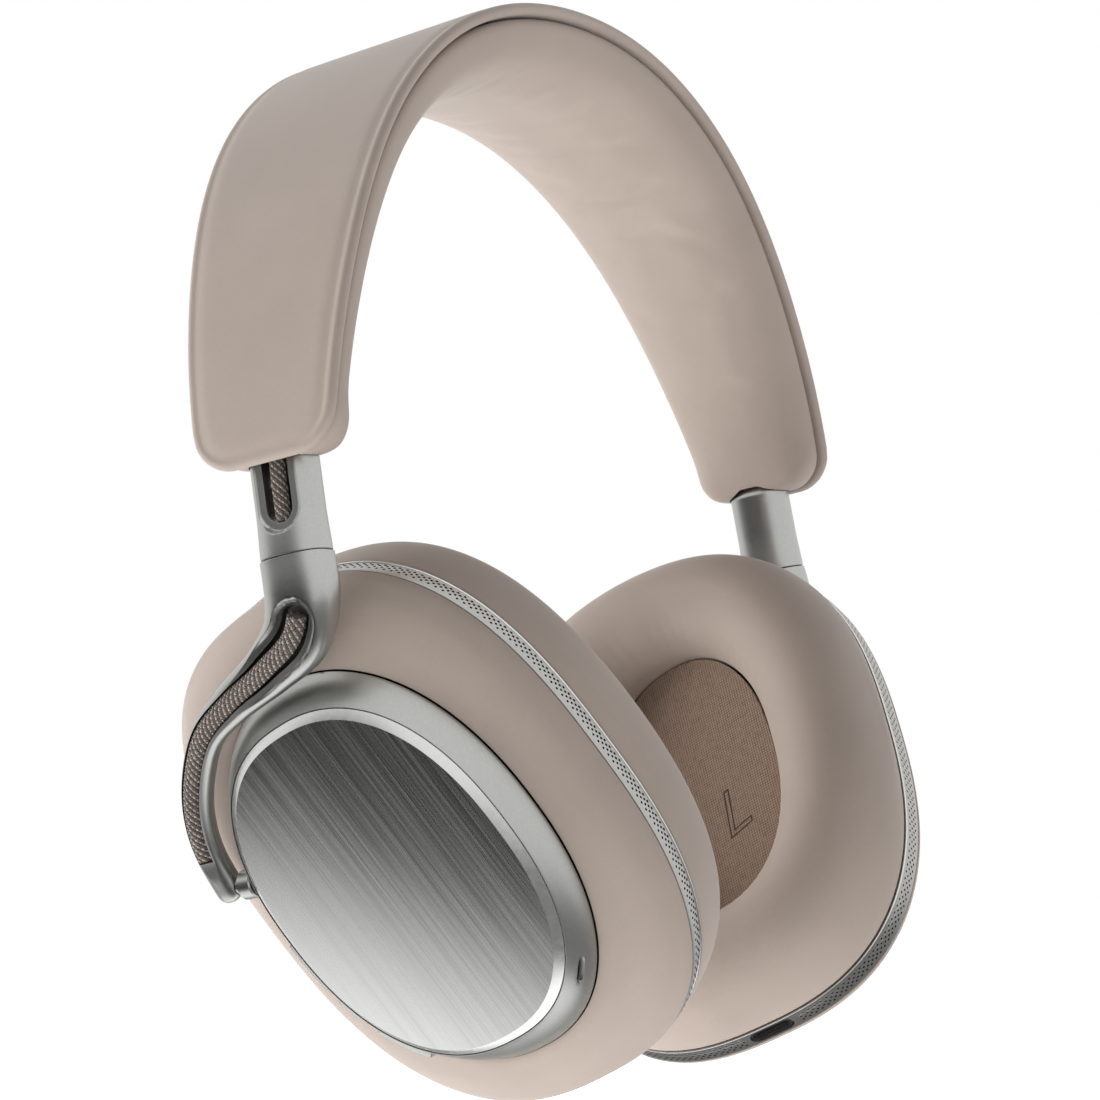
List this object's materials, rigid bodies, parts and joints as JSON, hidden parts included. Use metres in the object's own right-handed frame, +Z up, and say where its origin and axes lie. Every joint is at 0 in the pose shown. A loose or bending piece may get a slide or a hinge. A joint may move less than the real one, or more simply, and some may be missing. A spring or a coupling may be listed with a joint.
{
  "type": "over ear headphones",
  "caption": "Over-ear headphones: leather-covered headband, sliding stems, swivelling rear yokes and tilting oval cups with deep cushions and brushed outer plates.",
  "frame": {"origin": "on the underside of the headband pad at the crown, where the head carries the headphones", "axes": "+X towards the wearer's right, +Y towards the wearer's front, +Z up; the two sides mirror each other in X"},
  "size_m": [0.1706, 0.0824, 0.186],
  "materials": {
    "leather": "fine-grained warm grey leather",
    "satin_metal": "satin, brightly reflecting",
    "brushed_metal": "brushed in one direction, with a polished edge",
    "steel": "plain",
    "cable_cloth": "braided in brown and grey",
    "baffle_cloth": "open weave",
    "plastic": "moulded",
    "board": "soldered board",
    "carbon": "woven carbon cone",
    "foil": "wrinkled pouch"
  },
  "bodies": {
    "headband": {"headband_cover": "leather", "headband_pad": "leather", "spring_band": "steel", "slider_sleeve_r": "plastic", "slider_sleeve_l": "plastic"},
    "stem_r": {"stem_r": "satin_metal", "stem_cable_r": "cable_cloth", "swivel_pin_r": "steel"},
    "yoke_r": {"yoke_arm_r": "satin_metal", "yoke_cable_r": "cable_cloth", "pivot_pin_r": "satin_metal"},
    "cup_r": {"perforated_ring_r": "satin_metal", "cup_shell_r": "leather", "cup_housing_r": "plastic", "pod_ring_r": "satin_metal", "outer_plate_r": "brushed_metal", "mic_mesh_r": "plastic", "circuit_board_r": "board", "driver_frame_r": "plastic", "driver_cone_r": "carbon", "driver_magnet_r": "steel", "baffle_r": "plastic", "baffle_cloth_r": "baffle_cloth", "cushion_frame_r": "plastic", "ear_cushion_r": "leather"},
    "stem_l": {"stem_l": "satin_metal", "stem_cable_l": "cable_cloth", "swivel_pin_l": "steel"},
    "yoke_l": {"yoke_arm_l": "satin_metal", "yoke_cable_l": "cable_cloth", "pivot_pin_l": "satin_metal"},
    "cup_l": {"perforated_ring_l": "satin_metal", "cup_shell_l": "leather", "cup_housing_l": "plastic", "pod_ring_l": "satin_metal", "outer_plate_l": "brushed_metal", "mic_mesh_l": "plastic", "circuit_board_l": "board", "driver_frame_l": "plastic", "driver_cone_l": "carbon", "driver_magnet_l": "steel", "baffle_l": "plastic", "baffle_cloth_l": "baffle_cloth", "cushion_frame_l": "plastic", "ear_cushion_l": "leather", "battery_l": "foil", "usb_port_l": "plastic"},
    "volume_up_button_r": {"volume_up_button_r": "satin_metal"},
    "play_button_r": {"play_button_r": "satin_metal"},
    "volume_down_button_r": {"volume_down_button_r": "satin_metal"},
    "mode_button_l": {"mode_button_l": "satin_metal"},
    "power_button_l": {"power_button_l": "satin_metal"}
  },
  "joints": [
    {"name": "slider_r", "type": "slide", "parent": "headband", "child": "stem_r", "axis": [0.1564, 0, -0.9877], "range_m": [0, 0.014]},
    {"name": "swivel_r", "type": "hinge", "parent": "stem_r", "child": "yoke_r", "pos_m": [0.0794, -0.0003, -0.08329], "axis": [-0.0349, 0, 0.9994], "range_deg": [-10, 90]},
    {"name": "tilt_r", "type": "hinge", "parent": "yoke_r", "child": "cup_r", "pos_m": [0.05892, -0.03844, -0.13103], "axis": [-0.0297, -0.9996, 0], "range_deg": [-2, 28]},
    {"name": "volume_up_press_r", "type": "slide", "parent": "cup_r", "child": "volume_up_button_r", "axis": [0.1781, 0.9311, 0.3183], "range_m": [0, 0.0006], "stiffness_N_per_m": 1200},
    {"name": "play_press_r", "type": "slide", "parent": "cup_r", "child": "play_button_r", "axis": [0.2532, 0.8383, 0.4829], "range_m": [0, 0.0006], "stiffness_N_per_m": 1200},
    {"name": "volume_down_press_r", "type": "slide", "parent": "cup_r", "child": "volume_down_button_r", "axis": [0.3409, 0.649, 0.6801], "range_m": [0, 0.0006], "stiffness_N_per_m": 1200},
    {"name": "slider_l", "type": "slide", "parent": "headband", "child": "stem_l", "axis": [-0.1564, 0, -0.9877], "range_m": [0, 0.014]},
    {"name": "swivel_l", "type": "hinge", "parent": "stem_l", "child": "yoke_l", "pos_m": [-0.0794, -0.0003, -0.08329], "axis": [-0.0349, 0, -0.9994], "range_deg": [-10, 90]},
    {"name": "tilt_l", "type": "hinge", "parent": "yoke_l", "child": "cup_l", "pos_m": [-0.05892, -0.03844, -0.13103], "axis": [-0.0297, 0.9996, 0], "range_deg": [-2, 28]},
    {"name": "mode_press_l", "type": "slide", "parent": "cup_l", "child": "mode_button_l", "axis": [-0.1781, 0.9311, 0.3183], "range_m": [0, 0.0006], "stiffness_N_per_m": 1200},
    {"name": "power_press_l", "type": "slide", "parent": "cup_l", "child": "power_button_l", "axis": [-0.2532, 0.8383, 0.4829], "range_m": [0, 0.0006], "stiffness_N_per_m": 1200}
  ]
}
